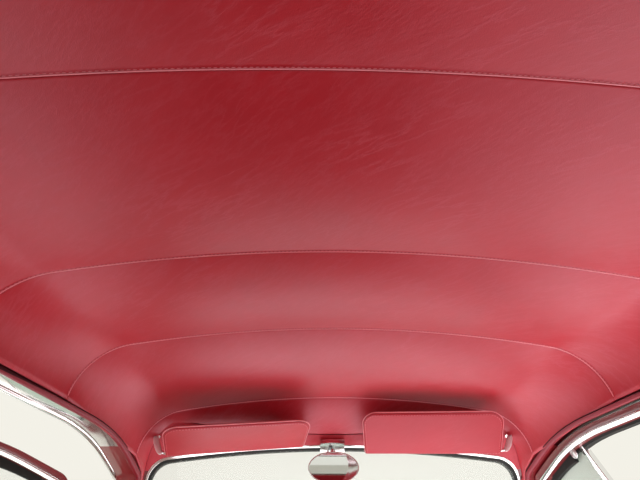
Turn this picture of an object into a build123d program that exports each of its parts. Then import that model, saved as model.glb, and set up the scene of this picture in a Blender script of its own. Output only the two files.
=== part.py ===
"""Lined roof section of a closed car, cut through its pillars at belt height.

Frame: +X to the car's right, +Y to its front, +Z up, millimetres.
The origin lies on the cut plane, straight below the middle of the windscreen header.
The header's inner edge is header_height above it.
"""

import os
from math import atan2, cos, radians, sin, sqrt, tan

from build123d import *

os.makedirs("parts", exist_ok=True)

# Cut plane and reach
header_height = 300.0
beyond = 1000.0
top_reach = 620.0
outline_reach = 600.0

# Side surface: plan curve of the body's inner face at two levels
# Columns: height, half width at the widest place, plan radius
side_levels = (
    (0.0, 748.0, 4800.0),
    (330.0, 694.0, 2580.0),
)
side_widest_y = -1290.0
side_bend_y = -575.0
side_front_y = 330.0
side_rear_y = -2330.0
body_wall = 48.0

# Arches of the lining's inner face, from the windscreen to the rear window
# Columns: y, half width, height where the side turns upright, crown height, shoulder radius
lining_arches = (
    (70.0, 518.0, 152.0, 238.0, 75.0),
    (-30.0, 497.0, 206.0, 318.0, 75.0),
    (-66.0, 491.0, 232.0, 348.0, 78.0),
    (-133.0, 491.0, 256.0, 398.0, 110.0),
    (-420.0, 552.0, 301.0, 457.0, 118.0),
    (-670.0, 614.0, 311.0, 486.0, 126.0),
    (-1015.0, 674.0, 310.0, 503.0, 128.0),
    (-1340.0, 690.0, 308.0, 500.0, 126.0),
    (-1660.0, 664.0, 298.0, 472.0, 120.0),
    (-1900.0, 620.0, 290.0, 412.0, 110.0),
    (-2060.0, 590.0, 282.0, 372.0, 85.0),
)
lining_seams = (-133.0, -420.0, -670.0, -1015.0, -1340.0, -1660.0)
lining_thickness = 3.0
lining_gap = 0.3
skirt = 70.0

# Outer skin of the roof over the same arches
# Columns: y, crown height, shoulder radius
roof_arches = (
    (60.0, 285.0, 80.0),
    (-40.0, 368.0, 110.0),
    (-133.0, 428.0, 140.0),
    (-420.0, 486.0, 150.0),
    (-670.0, 514.0, 158.0),
    (-1015.0, 531.0, 160.0),
    (-1340.0, 528.0, 158.0),
    (-1660.0, 500.0, 152.0),
    (-1900.0, 442.0, 120.0),
    (-2120.0, 386.0, 90.0),
)

# Drip line: where the roof panel meets the sides
# Columns: y, height
drip_line = (
    (160.0, 157.1),
    (-249.0, 293.3),
    (-620.0, 311.0),
    (-1300.0, 309.0),
    (-1900.0, 290.0),
    (-2330.0, 268.0),
)
drip_line_radius = 650.0

# Windscreen and rear window surfaces: raked and bowed in plan
windscreen_y = 0.0
windscreen_rake = 40.0
windscreen_bow = 1600.0
band_foot = -60.0
band_reach = 900.0
rear_window_y = -1950.0
rear_window_rake = 38.0
rear_window_bow = 1500.0
frame_inside = 10.0
frame_outside = 12.0
rear_inside = 20.0
rear_outside = 14.0

# Windscreen opening, seen from the front
windscreen_crown = 303.0
windscreen_corner_half = 481.0
windscreen_corner_z = 260.5
windscreen_foot_half = 527.0
windscreen_foot_z = 32.0
windscreen_top_radius = 66.0
windscreen_foot_radius = 54.0
windscreen_rubber = 7.0
windscreen_lip = 2.0
windscreen_garnish_width = 5.5

# Rear window opening, seen from behind
rear_opening_half = 420.0
rear_opening_foot_z = 95.0
rear_opening_top_z = 325.0
rear_opening_radius = 85.0

# Glass, rubber and bright trim
glass_thickness = 5.0
rubber_depth = 16.0
rubber_width = 12.0
glass_bite = 5.0
garnish_width = 11.0
garnish_lip = 5.0
garnish_depth = 4.0
garnish_space_reach = 15.0

# Door opening, seen from the side
door_sill_y = 80.6
door_front_y = -59.1
door_front_z = 221.6
door_front_radius = 60.0
door_rear_y = -1012.0
door_rear_radius = 70.0
rail_height = 8.0
door_gap = 5.5
opening_foot_z = -150.0
opening_foot_radius = 10.0

# Door window frame
door_inset = 5.5
door_frame_width = 21.5
reveal_start = 18.5
reveal_lip = 1.0
reveal_depth = 4.0
vent_bar_y = -246.0
vent_bar_width = 12.0
vent_seal_width = 5.0
channel_depth = 14.0
channel_inset = 17.0
vent_pane_thickness = 4.0

# Quarter window, seen from the side
quarter_front_y = -1084.0
quarter_rear_y = -1500.0
quarter_top_z = 258.0
quarter_foot_z = 45.0
quarter_top_lean = 70.0
quarter_shoulder_rise = 60.0
quarter_foot_lean = 20.0
quarter_radii = (40.0, 40.0, 60.0, 40.0, 25.0)
quarter_reveal_width = 7.0
quarter_reveal_depth = 5.0

# Windlace bead round the door opening
windlace_width = 10.0
windlace_depth = 9.0
windlace_overlap = 4.0
windlace_gap = 0.3

# Trim on the pillars and quarters
trim_thickness = 4.0
trim_gap = 0.3
pillar_trim_top = 240.0
pillar_depth = 60.0

# Drip rail along the outside
drip_rail_depth = 10.0
drip_rail_height = 11.0

# Door hinges: upright pins at the foot of each front pillar
hinge_x = 646.0
hinge_y = 95.0
hinge_pin_radius = 4.0
hinge_knuckle_radius = 8.0
hinge_arm_width = 14.0
hinge_low_z = 8.0
hinge_knuckle_height = 12.0
hinge_middle_height = 20.0
hinge_play = 0.5
hinge_pin_play = 0.05
strap_rear_y = 29.0
strap_width = 18.0
strap_reach_x = 560.0
post_reach_x = 500.0
left_door_open = 41.0

# Sun visors: each turns on a rod that hangs from an elbow bracket
# Columns: side, inner end of the rod, outer end of the rod, lift of the blade, bracket's seat
visor_rods = (
    (-1, (-84.0, -52.5, 301.7), (-441.0, -109.7, 267.8), 12.0, (-463.0, -97.0, 311.0)),
    (1, (80.0, -52.0, 285.4), (434.0, -109.8, 272.5), 30.0, (459.0, -97.0, 311.0)),
)
visor_rod_radius = 4.0
visor_play = 0.05
visor_height = 130.0
visor_below_rod = 9.0
visor_thickness = 15.0
visor_corner = 24.0
visor_outer_gap = 11.0
visor_blind_end = 1.0
elbow_radius = 14.0
elbow_pad_radius = 8.0
elbow_pad_lead = 5.0
elbow_root = 25.0

# Rear-view mirror on the header
mirror_x = -6.0
mirror_z = 247.0
mirror_stem_y = -18.0
mirror_stem_radius = 4.5
mirror_plate_half = 33.0
mirror_stem_top = 297.0
mirror_plate_low = 288.0
mirror_plate_high = 316.0
mirror_plate_depth = 6.0
mirror_half_width = 66.0
mirror_half_height = 38.0
mirror_shell_depth = 16.0
mirror_back_y = -40.0
mirror_glass_rim = 3.5
mirror_glass_depth = 2.0
mirror_dip = 5.6
swivel_width = 13.0
swivel_height = 14.0
swivel_play = 0.05
swivel_pin_radius = 3.0
ear_thickness = 4.0
ear_gap = 0.4
stem_flange_radius = 7.0
stem_flange_height = 2.5


def mix(low, high, share):
    """Value a share of the way from low to high."""
    return low + (high - low) * share


def side_half(y, z):
    """Half width of the body's inner face at one place."""
    widths = []
    for _, widest, radius in side_levels:
        bend = side_bend_y - side_widest_y
        if y > side_bend_y:
            drop = radius - sqrt(radius**2 - bend**2)
            slope = bend / sqrt(radius**2 - bend**2)
            widths.append(widest - drop - slope * (y - side_bend_y))
        else:
            widths.append(widest - radius + sqrt(radius**2 - (y - side_widest_y) ** 2))
    return mix(widths[0], widths[1], z / side_levels[1][0])


def drip_height(y):
    """Height of the drip line at one station."""
    for (front_y, front_z), (rear_y, rear_z) in zip(drip_line, drip_line[1:]):
        if rear_y <= y <= front_y:
            return mix(front_z, rear_z, (front_y - y) / (front_y - rear_y))
    return drip_line[-1][1]


def arch_face(y, half, foot, rail, crown, shoulder):
    """Closed three-centred arch with upright sides, drawn on the plane at one station."""
    reach = half - shoulder
    rise = crown - rail
    radius = (reach**2 + rise**2 - shoulder**2) / (2 * (rise - shoulder))
    centre_z = crown - radius
    turn = atan2(rail - centre_z, reach)
    join = (radius * cos(turn), centre_z + radius * sin(turn))
    middle = (reach + shoulder * cos(turn / 2), rail + shoulder * sin(turn / 2))
    with BuildSketch(Plane.XZ.offset(-y)) as face:
        with BuildLine():
            ThreePointArc((-join[0], join[1]), (0, crown), join)
            ThreePointArc(join, middle, (half, rail))
            Polyline((half, rail), (half, foot), (-half, foot), (-half, rail))
            ThreePointArc((-half, rail), (-middle[0], middle[1]), (-join[0], join[1]))
        make_face()
    return face.sketch


def lining_solid(arches, grow):
    """Solid below the lining's face, grown outwards by a thickness."""
    faces = [
        arch_face(y, half + grow, rail - skirt, rail, crown + grow, shoulder + grow)
        for y, half, rail, crown, shoulder in arches
    ]
    with BuildPart() as solid:
        loft(faces, ruled=True)
    return solid.part


def roof_solid():
    """Solid below the roof's outer skin."""
    faces = []
    for y, crown, shoulder in roof_arches:
        rail = drip_height(y)
        half = side_half(y, rail) + body_wall
        faces.append(arch_face(y, half, rail - skirt, rail, crown, shoulder))
    with BuildPart() as solid:
        loft(faces, ruled=True)
    return solid.part


def plan_points(widest, radius, off, side):
    """Rear, widest, bend and front points of the side's plan curve, moved out by off."""
    centre = widest - radius
    bend_turn = (side_bend_y - side_widest_y) / radius
    rear_turn = (side_rear_y - side_widest_y) / radius
    points = []
    for turn in (rear_turn, 0.0, bend_turn):
        along = (radius + off) * turn
        out = centre + (radius + off) * sqrt(1 - turn**2)
        points.append((side * out, side_widest_y + along))
    bend_x, bend_y = points[-1]
    slope = bend_turn / sqrt(1 - bend_turn**2)
    points.append((bend_x - side * slope * (side_front_y - bend_y), side_front_y))
    return points


def side_band(side, inner, outer):
    """Slab that follows one side of the body between two offsets from its inner face."""
    with BuildPart() as band:
        for level, widest, radius in side_levels:
            near = plan_points(widest, radius, inner, side)
            far = plan_points(widest, radius, outer, side)
            with BuildSketch(Plane.XY.offset(level)):
                with BuildLine():
                    ThreePointArc(*near[:3])
                    Line(near[2], near[3])
                    Line(near[3], far[3])
                    Line(far[3], far[2])
                    ThreePointArc(far[2], far[1], far[0])
                    Line(far[0], near[0])
                make_face()
        loft(ruled=True)
    return band.part


def body_block(off):
    """Whole width of the body between its two side surfaces, moved out by off."""
    with BuildPart() as block:
        for level, widest, radius in side_levels:
            right = plan_points(widest, radius, off, 1)
            left = plan_points(widest, radius, off, -1)
            with BuildSketch(Plane.XY.offset(level)):
                with BuildLine():
                    ThreePointArc(*right[:3])
                    Line(right[2], right[3])
                    Line(right[3], left[3])
                    Line(left[3], left[2])
                    ThreePointArc(left[2], left[1], left[0])
                    Line(left[0], right[0])
                make_face()
        loft(ruled=True)
    return block.part


def raked_band(middle_y, rake, bow, facing, inner, outer):
    """Slab along a bowed and raked glass surface, between two offsets along its normal."""
    run = (header_height - band_foot) * tan(radians(rake))
    sag = bow - sqrt(bow**2 - band_reach**2)
    arcs = []
    for depth in (inner, outer):
        middle = middle_y + facing * (run + depth / cos(radians(rake)))
        end = middle - facing * sag
        arcs.append(((-band_reach, end), (0, middle), (band_reach, end)))
    near, far = arcs
    with BuildPart() as band:
        with BuildSketch(Plane.XY.offset(band_foot)):
            with BuildLine():
                ThreePointArc(*near)
                Line(near[2], far[2])
                ThreePointArc(far[2], far[1], far[0])
                Line(far[0], near[0])
            make_face()
        way = (0, -facing * sin(radians(rake)), cos(radians(rake)))
        extrude(amount=(top_reach - band_foot) / cos(radians(rake)), dir=way)
    return band.part


def windscreen_band(inner, outer):
    return raked_band(windscreen_y, windscreen_rake, windscreen_bow, 1, inner, outer)


def rear_band(inner, outer):
    return raked_band(rear_window_y, rear_window_rake, rear_window_bow, -1, inner, outer)


def windscreen_outline(grow):
    """Windscreen opening carried along Y, grown by an amount."""
    with BuildPart() as solid:
        with BuildSketch(Plane.XZ) as face:
            with BuildLine():
                Polyline(
                    (-windscreen_corner_half, windscreen_corner_z),
                    (-windscreen_foot_half, windscreen_foot_z),
                    (windscreen_foot_half, windscreen_foot_z),
                    (windscreen_corner_half, windscreen_corner_z),
                )
                ThreePointArc(
                    (windscreen_corner_half, windscreen_corner_z),
                    (0, windscreen_crown),
                    (-windscreen_corner_half, windscreen_corner_z),
                )
            make_face()
            fillet(face.vertices().group_by(Axis.Y)[-1], windscreen_top_radius)
            fillet(face.vertices().group_by(Axis.Y)[0], windscreen_foot_radius)
            if grow:
                offset(amount=grow, kind=Kind.ARC)
        extrude(amount=outline_reach, both=True)
    return solid.part


def rear_outline(grow):
    """Rear window opening carried along Y, grown by an amount."""
    width = 2 * rear_opening_half
    height = rear_opening_top_z - rear_opening_foot_z
    middle_z = (rear_opening_top_z + rear_opening_foot_z) / 2
    with BuildPart() as solid:
        with BuildSketch(Plane((0, rear_window_y, 0), x_dir=(1, 0, 0), z_dir=(0, -1, 0))):
            with Locations((0, middle_z)):
                RectangleRounded(width + 2 * grow, height + 2 * grow, rear_opening_radius + grow)
        extrude(amount=outline_reach, both=True)
    return solid.part


def side_outline(points, radii, grow):
    """Outline seen from the side, carried across the whole width."""
    with BuildPart() as solid:
        with BuildSketch(Plane.YZ):
            with BuildLine():
                FilletPolyline(*points, radius=radii, close=True)
            make_face()
            if grow:
                offset(amount=grow, kind=Kind.ARC)
        extrude(amount=beyond, both=True)
    return solid.part


def door_outline(grow):
    """Door opening in the body, grown by an amount."""
    sill_y = door_sill_y + (door_sill_y - door_front_y) / door_front_z * -opening_foot_z
    points = [
        (sill_y, opening_foot_z),
        (door_front_y, door_front_z),
        (drip_line[1][0], drip_line[1][1] - rail_height),
        (drip_line[2][0], drip_line[2][1] - rail_height),
        (door_rear_y, drip_height(door_rear_y) - rail_height),
        (door_rear_y, opening_foot_z),
    ]
    radii = [door_front_radius, drip_line_radius, drip_line_radius, door_rear_radius]
    return side_outline(points, [opening_foot_radius, *radii, opening_foot_radius], grow)


def quarter_outline(grow):
    """Quarter window opening, grown by an amount."""
    points = [
        (quarter_front_y, quarter_foot_z),
        (quarter_front_y, quarter_top_z),
        (quarter_rear_y + quarter_top_lean, quarter_top_z),
        (quarter_rear_y, quarter_foot_z + quarter_shoulder_rise),
        (quarter_rear_y + quarter_foot_lean, quarter_foot_z),
    ]
    return side_outline(points, quarter_radii, grow)


def above_line(drop):
    """Everything above the drip line moved down by drop."""
    points = [(y, z - drop) for y, z in drip_line]
    with BuildPart() as solid:
        with BuildSketch(Plane.YZ):
            with BuildLine():
                FilletPolyline(*points, radius=drip_line_radius)
                Polyline(
                    points[-1],
                    (points[-1][0], top_reach),
                    (points[0][0], top_reach),
                    points[0],
                )
            make_face()
        extrude(amount=beyond, both=True)
    return solid.part


def finish(part, name):
    """Label one finished piece and write it."""
    part.label = name
    export_step(part, f"parts/{name}.step")


def shared(*parts):
    """Like pieces of one body in one node."""
    return Compound(children=[solid for part in parts for solid in part.solids()])


def cut_from(base, keep=(), remove=()):
    """A piece cut from a base: kept where it lies in each keep, cleared by each remove."""
    with BuildPart() as piece:
        add(base)
        for solid in keep:
            add(solid, mode=Mode.INTERSECT)
        for solid in remove:
            add(solid, mode=Mode.SUBTRACT)
    return piece.part


def ring(outline, outer, inner):
    """Band of an outline between two growths."""
    return cut_from(outline(outer), remove=[outline(inner)])


# Cutting surfaces that several pieces share
above = above_line(0)
below_trim = above_line(trim_gap)
roof_block = roof_solid()
front_rear_face = windscreen_band(-frame_inside, beyond)
front_outer_face = windscreen_band(frame_outside, beyond)
rear_inner_face = rear_band(-rear_inside, beyond)
rear_outer_face = rear_band(rear_outside, beyond)
outer_low = cut_from(body_block(body_wall), remove=[above])
outer_high = cut_from(roof_block, keep=[above])
door_opening = door_outline(0)
quarter_opening = quarter_outline(0)

# Roof panel, as thick as the whole roof
roof_panel = cut_from(
    outer_high,
    remove=[
        lining_solid(lining_arches, lining_thickness + lining_gap),
        windscreen_outline(windscreen_lip + trim_gap),
        front_rear_face,
        rear_inner_face,
    ],
)
finish(roof_panel, "roof_panel")

# Windscreen frame and rear panel
with BuildPart() as outer_block:
    add(outer_low)
    add(outer_high)
windscreen_frame = cut_from(
    windscreen_band(-frame_inside, frame_outside),
    keep=[outer_block.part],
    remove=[windscreen_outline(0)],
)
finish(windscreen_frame, "windscreen_frame")
rear_panel = cut_from(
    rear_band(-rear_inside, rear_outside),
    keep=[outer_block.part],
    remove=[rear_outline(0)],
)
finish(rear_panel, "rear_panel")


# Pillar trims: ruled slabs from the door edge to the windscreen, and the space they enclose
def pillar_corners(side, z, depth, stretch):
    """Door edge and windscreen edge of a front pillar's inner face, moved out by depth."""
    pillar_slope = (door_sill_y - door_front_y) / door_front_z
    windlace_reach = windlace_width - windlace_overlap + trim_thickness / 2 + windlace_gap
    door_y = door_sill_y - pillar_slope * z + windlace_reach * sqrt(1 + pillar_slope**2)
    door_x = side_half(door_y, z) - trim_gap - trim_thickness / 2
    lean = (windscreen_foot_half - windscreen_corner_half) / (windscreen_corner_z - windscreen_foot_z)
    glass_x = windscreen_foot_half - lean * (z - windscreen_foot_z) + windscreen_lip + trim_gap
    sag = windscreen_bow - sqrt(windscreen_bow**2 - glass_x**2)
    face = -(frame_inside + trim_gap) / cos(radians(windscreen_rake))
    glass_y = windscreen_y + (header_height - z) * tan(radians(windscreen_rake)) - sag + face
    run = Vector(glass_x - door_x, glass_y - door_y).normalized()
    out = Vector(run.Y, -run.X) * depth
    door = Vector(door_x, door_y) + out - run * stretch[0]
    glass = Vector(glass_x, glass_y) + out + run * stretch[1]
    return (side * door.X, door.Y), (side * glass.X, glass.Y)


def pillar_loft(side, near, far, stretch):
    """Ruled solid along a front pillar between two depths from its inner face."""
    faces = []
    for z in (0.0, pillar_trim_top):
        near_door, near_glass = pillar_corners(side, z, near, stretch)
        far_door, far_glass = pillar_corners(side, z, far, stretch)
        with BuildSketch(Plane.XY.offset(z)) as face:
            with BuildLine():
                Polyline(near_door, near_glass, far_glass, far_door, close=True)
            make_face()
        faces.append(face.sketch)
    with BuildPart() as solid:
        loft(faces, ruled=True)
    return solid.part


garnish_space = cut_from(
    windscreen_band(-frame_inside - garnish_depth - trim_gap, -frame_inside),
    keep=[windscreen_outline(windscreen_lip + trim_gap)],
)
pillar_trims = []
pillar_spaces = []
for side in (-1, 1):
    trim = pillar_loft(side, 0.0, trim_thickness, (0.0, 0.0))
    pillar_trims.append(cut_from(trim, remove=[below_trim, front_rear_face, garnish_space]))
    clear = trim_thickness + trim_gap
    pillar_spaces.append(pillar_loft(side, -pillar_depth, clear, (windlace_gap, garnish_space_reach)))
finish(shared(*pillar_trims), "pillar_trims")

# Body sides: front pillar, door pillar and quarter on each side, cut from one slab
windlace_ring = ring(door_outline, windlace_width - windlace_overlap, -windlace_overlap)
drip_strip = cut_from(above_line(drip_rail_height), remove=[above])
behind_door = Box(2 * beyond, beyond * 2, beyond, align=(Align.CENTER, Align.MAX, Align.MIN))
behind_door = behind_door.moved(Location((0, door_rear_y, 0)))
quarter_ring = ring(quarter_outline, 0, -rubber_width)
quarter_reveal_ring = ring(quarter_outline, quarter_reveal_width, -reveal_lip)
quarter_pane = quarter_outline(-glass_bite)
quarter_trim_edge = quarter_outline(quarter_reveal_width + trim_gap)
windlace_edge = door_outline(windlace_width - windlace_overlap + trim_gap)
rear_trim_face = rear_band(-rear_inside - trim_thickness - trim_gap, beyond)

drip_rails, windlaces, quarter_trims = [], [], []
quarter_glasses, quarter_gaskets, quarter_reveals = [], [], []
glass_near = (body_wall - glass_thickness) / 2
glass_far = (body_wall + glass_thickness) / 2
rubber_near = (body_wall - rubber_depth) / 2
rubber_far = (body_wall + rubber_depth) / 2
for side, hand in ((-1, "left"), (1, "right")):
    wall = side_band(side, 0, body_wall)
    body_side = cut_from(
        wall,
        remove=[above, door_opening, quarter_opening, front_rear_face, rear_inner_face, *pillar_spaces],
    )
    body_side = cut_from(body_side, remove=pillar_trims)
    finish(body_side, f"{hand}_body_side")
    rail = side_band(side, body_wall, body_wall + drip_rail_depth)
    drip_rails.append(cut_from(rail, keep=[drip_strip], remove=[front_outer_face, rear_outer_face]))
    bead = side_band(side, -windlace_depth, 0)
    windlaces.append(cut_from(bead, keep=[windlace_ring]))
    trim = side_band(side, -trim_thickness - trim_gap, -trim_gap)
    quarter_trims.append(
        cut_from(
            trim,
            keep=[behind_door],
            remove=[below_trim, windlace_edge, quarter_trim_edge, rear_trim_face],
        )
    )
    pane = cut_from(side_band(side, glass_near, glass_far), keep=[quarter_pane])
    quarter_glasses.append(pane)
    rubber = side_band(side, rubber_near, rubber_far)
    quarter_gaskets.append(cut_from(rubber, keep=[quarter_ring], remove=[pane]))
    quarter_reveals.append(cut_from(side_band(side, -quarter_reveal_depth, 0), keep=[quarter_reveal_ring]))
finish(shared(*drip_rails), "drip_rails")
finish(shared(*windlaces), "windlaces")
finish(shared(*quarter_trims), "quarter_trims")
finish(shared(*quarter_glasses), "quarter_glasses")
finish(shared(*quarter_gaskets), "quarter_gaskets")
finish(shared(*quarter_reveals), "quarter_reveals")

# Headlining: one sewn panel between each two seams
lining_front_face = windscreen_band(-frame_inside - garnish_depth - trim_gap, beyond)
bounds = [lining_arches[0][0], *lining_seams, lining_arches[-1][0]]
for number, (front_y, rear_y) in enumerate(zip(bounds, bounds[1:])):
    rows = [row for row in lining_arches if rear_y <= row[0] <= front_y]
    panel = cut_from(
        lining_solid(rows, lining_thickness),
        keep=[above],
        remove=[lining_solid(rows, 0), lining_front_face, rear_trim_face],
    )
    name = "header_lining" if number == 0 else f"lining_panel_{number}"
    finish(panel, name)

# Rear trim inside the rear panel
cabin_high = cut_from(lining_solid(lining_arches, -trim_gap), keep=[above])
cabin_low = cut_from(body_block(-trim_thickness - 2 * trim_gap), remove=[above])
with BuildPart() as cabin_space:
    add(cabin_high)
    add(cabin_low)
rear_trim = cut_from(
    rear_band(-rear_inside - trim_thickness, -rear_inside),
    keep=[cabin_space.part],
    remove=[rear_outline(garnish_lip + trim_gap)],
)
finish(rear_trim, "rear_trim")

# Header trim between the headlining's front edge and the windscreen garnish
header_block = Box(2 * beyond, 2 * beyond, beyond, align=(Align.CENTER, Align.CENTER, Align.MIN))
header_block = header_block.moved(Location((0, 0, pillar_trim_top + trim_gap)))
header_trim = cut_from(
    windscreen_band(-frame_inside - garnish_depth, -frame_inside),
    keep=[cabin_space.part, header_block],
    remove=[windscreen_outline(windscreen_lip + trim_gap)],
)
finish(header_trim, "header_trim")

# Windscreen: glass in a rubber channel, bright garnish on the inside
half_glass = glass_thickness / 2
windscreen_glass = cut_from(
    windscreen_band(-half_glass, half_glass),
    keep=[windscreen_outline(-glass_bite)],
)
finish(windscreen_glass, "windscreen_glass")
windscreen_gasket = cut_from(
    windscreen_band(-rubber_depth / 2, rubber_depth / 2),
    keep=[ring(windscreen_outline, 0, -windscreen_rubber)],
    remove=[windscreen_glass],
)
finish(windscreen_gasket, "windscreen_gasket")
windscreen_garnish = cut_from(
    windscreen_band(-frame_inside - garnish_depth, -frame_inside),
    keep=[ring(windscreen_outline, windscreen_lip, windscreen_lip - windscreen_garnish_width)],
)
finish(windscreen_garnish, "windscreen_garnish")

# Rear window: glass, rubber channel and bright garnish
rear_glass = cut_from(rear_band(-half_glass, half_glass), keep=[rear_outline(-glass_bite)])
finish(rear_glass, "rear_glass")
rear_gasket = cut_from(
    rear_band(-rubber_depth / 2, rubber_depth / 2),
    keep=[ring(rear_outline, 0, -rubber_width)],
    remove=[rear_glass],
)
finish(rear_gasket, "rear_gasket")
rear_garnish = cut_from(
    rear_band(-rear_inside - trim_thickness, -rear_inside),
    keep=[rear_outline(garnish_lip)],
    remove=[rear_outline(garnish_lip - garnish_width)],
)
finish(rear_garnish, "rear_garnish")

# Doors: window frame, bright reveal, division bar, rubber, vent pane and hinge strap
door_leaf = door_outline(-door_gap)
door_edge = door_gap + door_frame_width
door_window = door_outline(-door_edge)
seal_ring = ring(door_outline, -door_edge, -door_edge - vent_seal_width)
pane_edge = door_outline(-door_edge - vent_seal_width / 2)
reveal_ring = ring(door_outline, -reveal_start, -door_edge - reveal_lip)
bar_box = Box(2 * beyond, vent_bar_width, beyond, align=(Align.CENTER, Align.CENTER, Align.MIN))
bar_box = bar_box.moved(Location((0, vent_bar_y, 0)))
front_box = Box(2 * beyond, beyond, beyond, align=(Align.CENTER, Align.MIN, Align.MIN))
front_box = front_box.moved(Location((0, vent_bar_y, 0)))
outer_skin = body_block(body_wall)
door_skin = body_block(body_wall - door_inset / 2)
top_z = hinge_low_z + 2 * hinge_knuckle_height + hinge_middle_height + 2 * hinge_play
door_hinges = []


def knuckle(side, low, height, radius):
    """Upright cylinder on the hinge line."""
    with BuildPart() as barrel:
        with BuildSketch(Plane((side * hinge_x, hinge_y, low))):
            Circle(radius)
        extrude(amount=height)
    return barrel.part


def plan_block(side, points, low, height):
    """Block with a plan outline drawn for the right side."""
    with BuildPart() as block:
        with BuildSketch(Plane.XY.offset(low)):
            with BuildLine():
                Polyline(*[(side * x, y) for x, y in points], close=True)
            make_face()
        extrude(amount=height)
    return block.part


for side, hand in ((-1, "left"), (1, "right")):
    # The closed door turns about its hinge line to where it stands
    swing = Axis((side * hinge_x, hinge_y, 0), (0, 0, 1))
    turn = -left_door_open if side < 0 else 0.0
    frame = cut_from(
        side_band(side, door_inset, body_wall - door_inset / 2),
        keep=[door_leaf],
        remove=[door_window],
    )
    reveal_face = door_inset - reveal_depth
    reveal = cut_from(side_band(side, reveal_face, door_inset), keep=[reveal_ring])
    channel = side_band(side, channel_inset, channel_inset + channel_depth)
    bar = cut_from(channel, keep=[bar_box, door_window])
    pane_near = channel_inset + (channel_depth - vent_pane_thickness) / 2
    pane = cut_from(
        side_band(side, pane_near, pane_near + vent_pane_thickness),
        keep=[pane_edge, front_box],
        remove=[bar],
    )
    seal = cut_from(channel, keep=[seal_ring], remove=[bar, pane])
    strap_z = hinge_low_z + hinge_knuckle_height + hinge_play
    arm_x = hinge_x + hinge_knuckle_radius
    strap_points = [
        (hinge_x, hinge_y),
        (arm_x, hinge_y),
        (arm_x, strap_rear_y),
        (strap_reach_x, strap_rear_y),
        (strap_reach_x, strap_rear_y + strap_width),
        (hinge_x, strap_rear_y + strap_width),
    ]
    strap_arm = plan_block(side, strap_points, strap_z, hinge_middle_height)
    strap_barrel = knuckle(side, strap_z, hinge_middle_height, hinge_knuckle_radius)
    pin_bore = knuckle(side, 0, top_z, hinge_pin_radius + hinge_pin_play)
    with BuildPart() as strap:
        add(strap_arm)
        add(strap_barrel)
        add(door_skin, mode=Mode.SUBTRACT)
        add(pin_bore, mode=Mode.SUBTRACT)
    post_points = [
        (hinge_x, hinge_y - hinge_arm_width / 2),
        (hinge_x, hinge_y + hinge_arm_width / 2),
        (post_reach_x, hinge_y + hinge_arm_width / 2),
        (post_reach_x, hinge_y - hinge_arm_width / 2),
    ]
    post_solids = [knuckle(side, hinge_low_z, top_z - hinge_low_z, hinge_pin_radius)]
    for low in (hinge_low_z, strap_z + hinge_middle_height + hinge_play):
        post_solids.append(plan_block(side, post_points, low, hinge_knuckle_height))
        post_solids.append(knuckle(side, low, hinge_knuckle_height, hinge_knuckle_radius))
    with BuildPart() as post:
        for solid in post_solids:
            add(solid)
        add(outer_skin, mode=Mode.SUBTRACT)
        add(front_outer_face, mode=Mode.SUBTRACT)
    door_hinges.append(post.part)
    for piece, name in (
        (frame, "door_frame"),
        (reveal, "door_reveal"),
        (bar, "vent_bar"),
        (pane, "vent_glass"),
        (seal, "door_seal"),
        (strap.part, "door_hinge_strap"),
    ):
        placed = piece.rotate(swing, turn) if turn else piece
        finish(placed, f"{hand}_{name}")
finish(shared(*door_hinges), "door_hinge_posts")

# Sun visors
under_lining = lining_solid(lining_arches, -trim_gap)
for side, inner_end, outer_end, lift, seat in visor_rods:
    hand = "left" if side < 0 else "right"
    start = Vector(*inner_end)
    end = Vector(*outer_end)
    along = (end - start).normalized()
    level = along.cross(Vector(0, 0, 1)).normalized()
    if level.Y > 0:
        level = -level
    rise = level.cross(along)
    if rise.Z < 0:
        rise = -rise
    up = (level * cos(radians(lift)) + rise * sin(radians(lift))).normalized()
    seat_point = Vector(*seat)
    pad_way = (seat_point - end).normalized()
    root = seat_point + pad_way * elbow_root
    with BuildPart() as arm:
        with BuildLine() as path:
            FilletPolyline(start, end, root, radius=elbow_radius)
        with BuildSketch(Plane(origin=start, z_dir=along)):
            Circle(visor_rod_radius)
        sweep(path=path.line)
        with BuildSketch(Plane(origin=seat_point - pad_way * elbow_pad_lead, z_dir=pad_way)):
            Circle(elbow_pad_radius)
        extrude(amount=elbow_root)
        add(under_lining, mode=Mode.INTERSECT)
        add(lining_front_face, mode=Mode.SUBTRACT)
    finish(arm.part, f"{hand}_visor_arm")
    blade_plane = Plane(origin=start, x_dir=along, z_dir=along.cross(up))
    blade_end = (end - start).length - visor_outer_gap
    with BuildPart() as blade:
        with BuildSketch(blade_plane) as face:
            with BuildLine():
                Polyline(
                    (-visor_blind_end, -visor_below_rod),
                    (blade_end, -visor_below_rod),
                    (blade_end, visor_height),
                    (-visor_blind_end, visor_height),
                    close=True,
                )
            make_face()
            fillet(face.vertices().group_by(Axis.Y)[-1], visor_corner)
        extrude(amount=visor_thickness / 2, both=True)
        rod_plane = Plane(origin=start, z_dir=along)
        with BuildSketch(rod_plane):
            Circle(visor_rod_radius + visor_play)
        extrude(amount=2 * blade_end, mode=Mode.SUBTRACT)
    finish(blade.part, f"{hand}_visor")

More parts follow.
